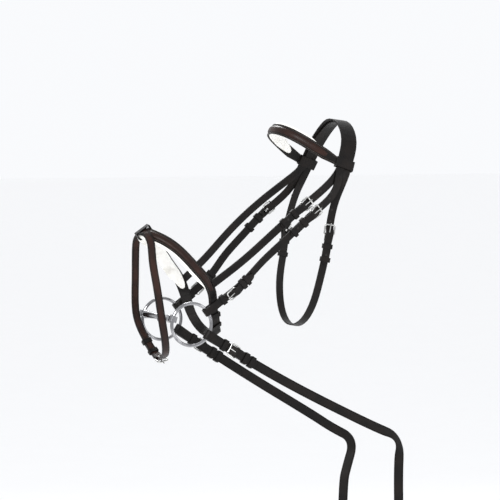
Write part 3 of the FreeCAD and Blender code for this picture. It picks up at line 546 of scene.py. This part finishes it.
def leather_copy(node, material):
    """A leather piece over a CAD node: clean faces, rounded edges and smooth bends."""
    source = NODES[node]
    mesh = bpy.data.meshes.new(f"{node}_leather")
    bm = bmesh.new()
    bm.from_mesh(source.data)
    bmesh.ops.remove_doubles(bm, verts=bm.verts, dist=WELD)
    bmesh.ops.dissolve_degenerate(bm, dist=1e-6, edges=bm.edges)
    bmesh.ops.join_triangles(bm, faces=bm.faces, angle_face_threshold=0.06, angle_shape_threshold=0.9)
    bm.verts.index_update()
    bm.normal_update()
    strap = Strap(bm)
    mark_across(bm, strap)
    bm.to_mesh(mesh)
    bm.free()
    mesh.shade_smooth()
    mesh.set_sharp_from_angle(angle=SHARP)
    piece = linked(f"{node}_leather", mesh)
    round_edges(piece)
    paint(piece, material)
    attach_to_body(piece, source["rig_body"])
    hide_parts(node)
    return piece, strap


# ---- skins made from rings of points ----

def skin(bm, rings):
    """Joins each ring of vertices to the next with a band of faces, and returns the faces."""
    count = len(rings[0])
    made = []
    for one, other in zip(rings, rings[1:]):
        for k in range(count):
            j = (k + 1) % count
            made.append(bm.faces.new((one[k], one[j], other[j], other[k])))
    return made


def closed(bm, rings):
    """Closes both ends of a skin and turns its faces outwards."""
    bm.faces.new(rings[0][::-1])
    bm.faces.new(rings[-1])
    bmesh.ops.recalc_face_normals(bm, faces=bm.faces)


def finished(name, bm, material):
    """Makes the object that holds the bmesh, smooth except at sharp bends."""
    mesh = bpy.data.meshes.new(name)
    bm.to_mesh(mesh)
    bm.free()
    mesh.shade_smooth()
    mesh.set_sharp_from_angle(angle=SKIN_SHARP)
    piece = linked(name, mesh)
    paint(piece, material)
    return piece


def lofted(name, stations, profile, material, half=None):
    """A closed skin along (point, sideways, out) stations. The profile's numbers scale the two ways.

    Given half, the strap's half width, the crease lines are marked as on the other straps.
    """
    bm = bmesh.new()
    layer = bm.loops.layers.uv.new("strap")
    rings = [[bm.verts.new(point + sideways * x + out * y) for x, y in profile]
             for point, sideways, out in stations]
    columns = [x for x, _ in profile] * 2
    for number, face in enumerate(skin(bm, rings)):
        k = number % len(profile)
        for loop, column in zip(face.loops, (k, k + 1, k + 1, k)):
            loop[layer].uv = (columns[column] * 100, half * 100) if half else MID_STRAP
    closed(bm, rings)
    return finished(name, bm, material)


def rein_profile():
    """A flat strap's section, with rounded edges and a shallow crease near each edge."""
    half, deep = REIN_WIDTH / 2, LEATHER / 2
    side = [(half, -deep * 0.4), (half, deep * 0.4), (half - 0.0003, deep * 0.8), (half - 0.0008, deep),
            (half - 0.0014, deep), (half - CREASE_INSET, deep - 0.0002), (half - 0.0020, deep),
            (half - 0.0026, deep * 1.02)]
    top = side + [(0.0, deep * 1.06)] + [(-x, y) for x, y in reversed(side)]
    bottom = [(-x, -y) for x, y in top if abs(y) > deep * 0.5]
    return top + bottom


def route_line(name, points):
    """The smooth line of a route, read from its own spline."""
    data = bpy.data.curves.new(name, "CURVE")
    data.dimensions = "3D"
    data.resolution_u = 20
    spline = data.splines.new("NURBS")
    spline.points.add(len(points) - 1)
    for place, point in zip(spline.points, points):
        place.co = (*point, 1.0)
    spline.order_u = 3
    spline.use_endpoint_u = True
    curve = linked(name, data)
    mesh = bpy.data.meshes.new_from_object(curve)
    line = [v.co.copy() for v in mesh.vertices]
    bpy.data.objects.remove(curve)
    bpy.data.meshes.remove(mesh)
    return line


def turned(low, high, share):
    """A direction on its way from one to another, starting and stopping gently."""
    share = min(max(share, 0.0), 1.0)
    share = share * share * (3 - 2 * share)
    return low.lerp(high, share)


def make_rein(name, course, hanging, material):
    """One long rein: flat beside the neck, edge-on over the neck's edge, and hanging to the centre buckle."""
    course = [Vector(p) for p in course]
    hanging = [Vector(p) for p in hanging]
    edge = course[-1]
    before = edge + (course[-2] - edge).normalized() * NEAR_EDGE
    after = edge + (hanging[0] - edge).normalized() * NEAR_EDGE
    pushed = edge + Vector((EDGE_OUT, 0.0, EDGE_OUT))
    line = route_line(f"{name}_line", [*course[:-1], before, pushed, after, *hanging])
    level = (edge - course[0]).normalized().cross(Vector((0.0, 1.0, 0.0)))
    over_edge = Vector((1.0, -math.copysign(1.0, edge.y), 1.0)).normalized()
    reach = line_length(course) - EDGE_BEFORE
    stations = []
    run = 0.0
    for k, point in enumerate(line):
        ahead = line[min(k + 1, len(line) - 1)] - line[max(k - 1, 0)]
        along = ahead.normalized()
        wide = turned(level, over_edge, (run - reach) / EDGE_TURN + 1.0)
        wide = turned(wide, HANGING_WIDE, (run - reach) / HANGING_TURN)
        wide = turned(wide, LOOP_WIDE, (run - reach - LOOP_AFTER) / LOOP_TURN)
        wide = (wide - along * wide.dot(along)).normalized()
        stations.append((point, wide, along.cross(wide)))
        if k + 1 < len(line):
            run += (line[k + 1] - point).length
    return lofted(name, stations, rein_profile(), material, REIN_WIDTH / 2), line


# ---- small things on the leather ----

def circle(bm, centre, first, second, sides):
    """A ring of vertices round a centre, spanned by two directions with lengths."""
    turns = [2 * math.pi * k / sides for k in range(sides)]
    return [bm.verts.new(centre + first * math.cos(turn) + second * math.sin(turn)) for turn in turns]


def stitches(name, places, material):
    """Short flattened capsules, one for each (point, along, out) place."""
    bm = bmesh.new()
    for point, along, out in places:
        across = along.cross(out)
        rings = []
        for reach, size in STITCH_SHAPE:
            centre = point + along * (reach * STITCH_LENGTH)
            thick = STITCH_WIDTH / 2 * size
            rings.append(circle(bm, centre, across * thick, out * (thick * STITCH_FLATNESS), 6))
        skin(bm, rings)
        bm.faces.new(rings[0][::-1])
        bm.faces.new(rings[-1])
    bmesh.ops.recalc_face_normals(bm, faces=bm.faces)
    return finished(name, bm, material)


def stitch_places(strap, near=(), reach=(0.0, 9.0)):
    """Places for stitches inside both edges of a strap, all along it or at some distances from points."""
    places = []
    for a, b, along, out in strap.stations(STITCH_PITCH):
        middle = (a + b) / 2
        away = min(((middle - point).length for point in near), default=0.0)
        wide = (b - a).length
        if not reach[0] <= away <= reach[1] or wide < 3 * STITCH_INSET:
            continue
        inward = (b - a) / wide * STITCH_INSET
        lift = out * STITCH_LIFT
        places += [(a + inward + lift, along, out), (b - inward + lift, along, out)]
    return places


class Fastening:
    """A buckle's own directions, from its tongue's joint: along to its end bar, across, and out."""

    def __init__(self, name):
        joint = next(j for j in JOINTS if j["name"] == f"{name}_tongue_hinge")
        low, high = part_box(f"{name}_buckle")
        self.hinge = Vector(joint["pos_m"])
        self.across = Vector(joint["axis"]).normalized()
        ahead = (low + high) / 2 - self.hinge
        self.along = (ahead - self.across * ahead.dot(self.across)).normalized()
        self.out = self.across.cross(self.along)


def punched_holes(name, fastening, leather, counts, material):
    """Holes down the middle of a billet, at the buckle's pitch from its tongue, each with a pressed rim."""
    mesh = leather.data
    tree = BVHTree.FromPolygons([v.co for v in mesh.vertices], [list(p.vertices) for p in mesh.polygons])
    bm = bmesh.new()
    for count in counts:
        distance = HOLE_START + HOLE_PITCH * count
        above = fastening.hinge + fastening.along * distance + fastening.out * 0.02
        point, normal, _, _ = tree.ray_cast(above, -fastening.out, 0.03)
        if point is None:
            continue
        side = normal.cross(fastening.along).normalized()
        ahead = side.cross(normal)
        rings = []
        for size, height in HOLE_RIM:
            radius = HOLE_RADIUS * size
            rings.append(circle(bm, point + normal * height, ahead * radius, side * radius, 14))
        skin(bm, rings)
        # a flat disc across the hole, dark with painted shade for its depth
        bm.faces.new(rings[-1])
    return finished(name, bm, material)


# a raised middle's section, in shares of its half width and height
BAND_PROFILE = [(-1.0, -0.10), (-0.97, 0.14), (-0.86, 0.46), (-0.62, 0.80), (-0.32, 0.96), (0.0, 1.0),
                (0.32, 0.96), (0.62, 0.80), (0.86, 0.46), (0.97, 0.14), (1.0, -0.10)]


def raised_band(name, strap, bare, material):
    """The padded, rounded middle that stands up along a noseband or a browband, but not at its bare ends."""
    found = strap.stations(BAND_PITCH)
    stations = []
    for k, (a, b, along, out) in enumerate(found):
        inside = min(k * BAND_PITCH - bare[0], (len(found) - 1 - k) * BAND_PITCH - bare[1])
        if inside < 0.0:
            continue
        rise = math.sqrt(min(1.0, 0.02 + inside / BAND_RISE))
        half = ((b - a).length / 2 - BAND_INSET) * (0.5 + 0.5 * rise)
        middle = (a + b) / 2 - out * 0.0001
        stations.append((middle, (b - a).normalized() * half, out * (BAND_HEIGHT * rise)))
    return lofted(name, stations, BAND_PROFILE, material)


def soft_pad(node, material):
    """A padded lining over a CAD pad: swollen, with its edges rounded off."""
    source = NODES[node]
    mesh = source.data.copy()
    mesh.name = f"{node}_soft"
    piece = linked(f"{node}_soft", mesh)
    bm = bmesh.new()
    bm.from_mesh(mesh)
    bmesh.ops.remove_doubles(bm, verts=bm.verts, dist=WELD)
    bm.to_mesh(mesh)
    bm.free()
    remesh = piece.modifiers.new("even", "REMESH")
    remesh.mode = "VOXEL"
    remesh.voxel_size = PAD_VOXEL
    smooth = piece.modifiers.new("round", "SMOOTH")
    smooth.iterations = PAD_SMOOTHING
    smooth.factor = 0.6
    swell = piece.modifiers.new("swell", "DISPLACE")
    swell.strength = PAD_SWELL
    swell.mid_level = 0.0
    applied = bpy.data.meshes.new_from_object(
        piece.evaluated_get(bpy.context.evaluated_depsgraph_get()))
    piece.modifiers.clear()
    piece.data = applied
    applied.shade_smooth()
    paint(piece, material)
    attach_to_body(piece, source["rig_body"])
    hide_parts(node)
    return piece


# ---- the bridle's own pieces ----

PLAIN_LEATHER = ["crownpiece", "sliphead", "noseband_cheek", "chin_strap", "throatlash", "flash_loop",
                 "rein_centre_chape", "rein_centre_billet", "rein_centre_keepers", "headstall_keepers",
                 "reins_keepers"]
PAIRED_LEATHER = ["cheekpiece", "cheek_chape", "cheek_top_runner", "cheek_bit_runner", "rein_billet",
                  "rein_chape"]
# pieces that carry a reddish painted highlight along their middle
PAINTED_HIGHLIGHT_PIECES = ["noseband", "browband", "flash_strap"]
# piece: the buckles whose fold is sewn on it
SEWN_FOLDS = {"left_cheekpiece": ["left_cheek_top"], "right_cheekpiece": ["right_cheek_top"],
              "throatlash": ["left_throatlash", "right_throatlash"], "noseband_cheek": ["sliphead"],
              "flash_strap": ["flash"], "left_cheek_chape": ["left_cheek_bit"],
              "right_cheek_chape": ["right_cheek_bit"], "left_rein_chape": ["left_rein"],
              "right_rein_chape": ["right_rein"], "rein_centre_chape": ["rein_centre"]}
# buckle: the billet that goes through it, and its holes counted from the tongue
BILLETS = {"left_cheek_top": ("crownpiece", (-2, 1, 2, 3)), "right_cheek_top": ("crownpiece", (-2, 1, 2, 3)),
           "left_throatlash": ("crownpiece", (-2, 1, 2, 3)),
           "right_throatlash": ("crownpiece", (-2, 1, 2, 3)),
           "left_cheek_bit": ("left_cheekpiece", (1, -2)), "right_cheek_bit": ("right_cheekpiece", (1, -2)),
           "sliphead": ("sliphead", (-2, 1, 2, 3)), "noseband": ("chin_strap", (-2, 1, 2)),
           "flash": ("flash_strap", (-2, 1, 2)), "left_rein": ("left_rein_billet", (1, -1)),
           "right_rein": ("right_rein_billet", (1, -1)), "rein_centre": ("rein_centre_billet", (-1, 1))}


def attach(piece, like):
    """A new piece rides with a CAD node's body."""
    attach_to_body(piece, NODES[like]["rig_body"])


def sew():
    """Thread along the raised bands' sides and round every folded end."""
    for node in ("noseband", "browband"):
        attach(stitches(f"{node}_stitches", stitch_places(straps[node]), thread), node)
    for node, held in SEWN_FOLDS.items():
        near = [Fastening(name).hinge for name in held]
        places = stitch_places(straps[node], near, FOLD_REACH)
        if places:
            attach(stitches(f"{node}_stitches", places, thread), node)


def punch():
    """The holes of every billet."""
    for name, (node, counts) in BILLETS.items():
        holes = punched_holes(f"{name}_holes", Fastening(name), leathers[node], counts, hole_shade)
        attach(holes, node)


# ---- making everything: the camera and the cords first ----

make_camera()

black_leather = leather_material("black_leather", colour(0.0030, 0.0024, 0.0022),
                                 colour(0.0100, 0.0065, 0.0052), 0.36, 0.0)
# brown-black leather; its reddish colour, spread over the middles, is a painted highlight
painted_highlight_leather = leather_material("brown_black_leather", colour(0.0045, 0.0032, 0.0028),
                                 colour(0.026, 0.0110, 0.0080), 0.24, 0.50)
white_padding = padding_material()
buckle_steel = steel_material("buckle_steel", colour(0.50, 0.50, 0.49), colour(0.34, 0.34, 0.33), 0.14)
bit_steel = steel_material("bit_steel", colour(0.29, 0.29, 0.30), colour(0.18, 0.18, 0.19), 0.09)
thread = thread_material()
hole_shade = hole_shade_material()

left_rein, left_line = make_rein("left_rein_strap", LEFT_COURSE, LEFT_HANGING, black_leather)
right_rein, right_line = make_rein("right_rein_strap", RIGHT_COURSE, RIGHT_HANGING, black_leather)
for piece, node in ((left_rein, "left_rein"), (right_rein, "right_rein")):
    attach(piece, node)
    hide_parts(node)

make_stage()

leathers = {}
straps = {}
for node in PLAIN_LEATHER + [f"{side}_{part}" for side in ("left", "right") for part in PAIRED_LEATHER]:
    leathers[node], straps[node] = leather_copy(node, black_leather)
for node in PAINTED_HIGHLIGHT_PIECES:
    # only the raised middle of a padded band carries the reddish painted highlight, and on the flash strap
    # its flat middle: the bands' flat edges and their ends are black
    flat = painted_highlight_leather if node == "flash_strap" else black_leather
    leathers[node], straps[node] = leather_copy(node, flat)
for node, bare in (("noseband", NOSEBAND_BARE), ("browband", BROWBAND_BARE)):
    attach(raised_band(f"{node}_raise", straps[node], bare, painted_highlight_leather), node)
sew()
punch()
for node in ("noseband_padding", "browband_padding"):
    soft_pad(node, white_padding)
for name, node in NODES.items():
    if name.endswith(("_buckle", "_tongue")):
        paint(node, buckle_steel)
    if name.endswith(("_bit_ring", "_cannon")):
        paint(node, bit_steel)
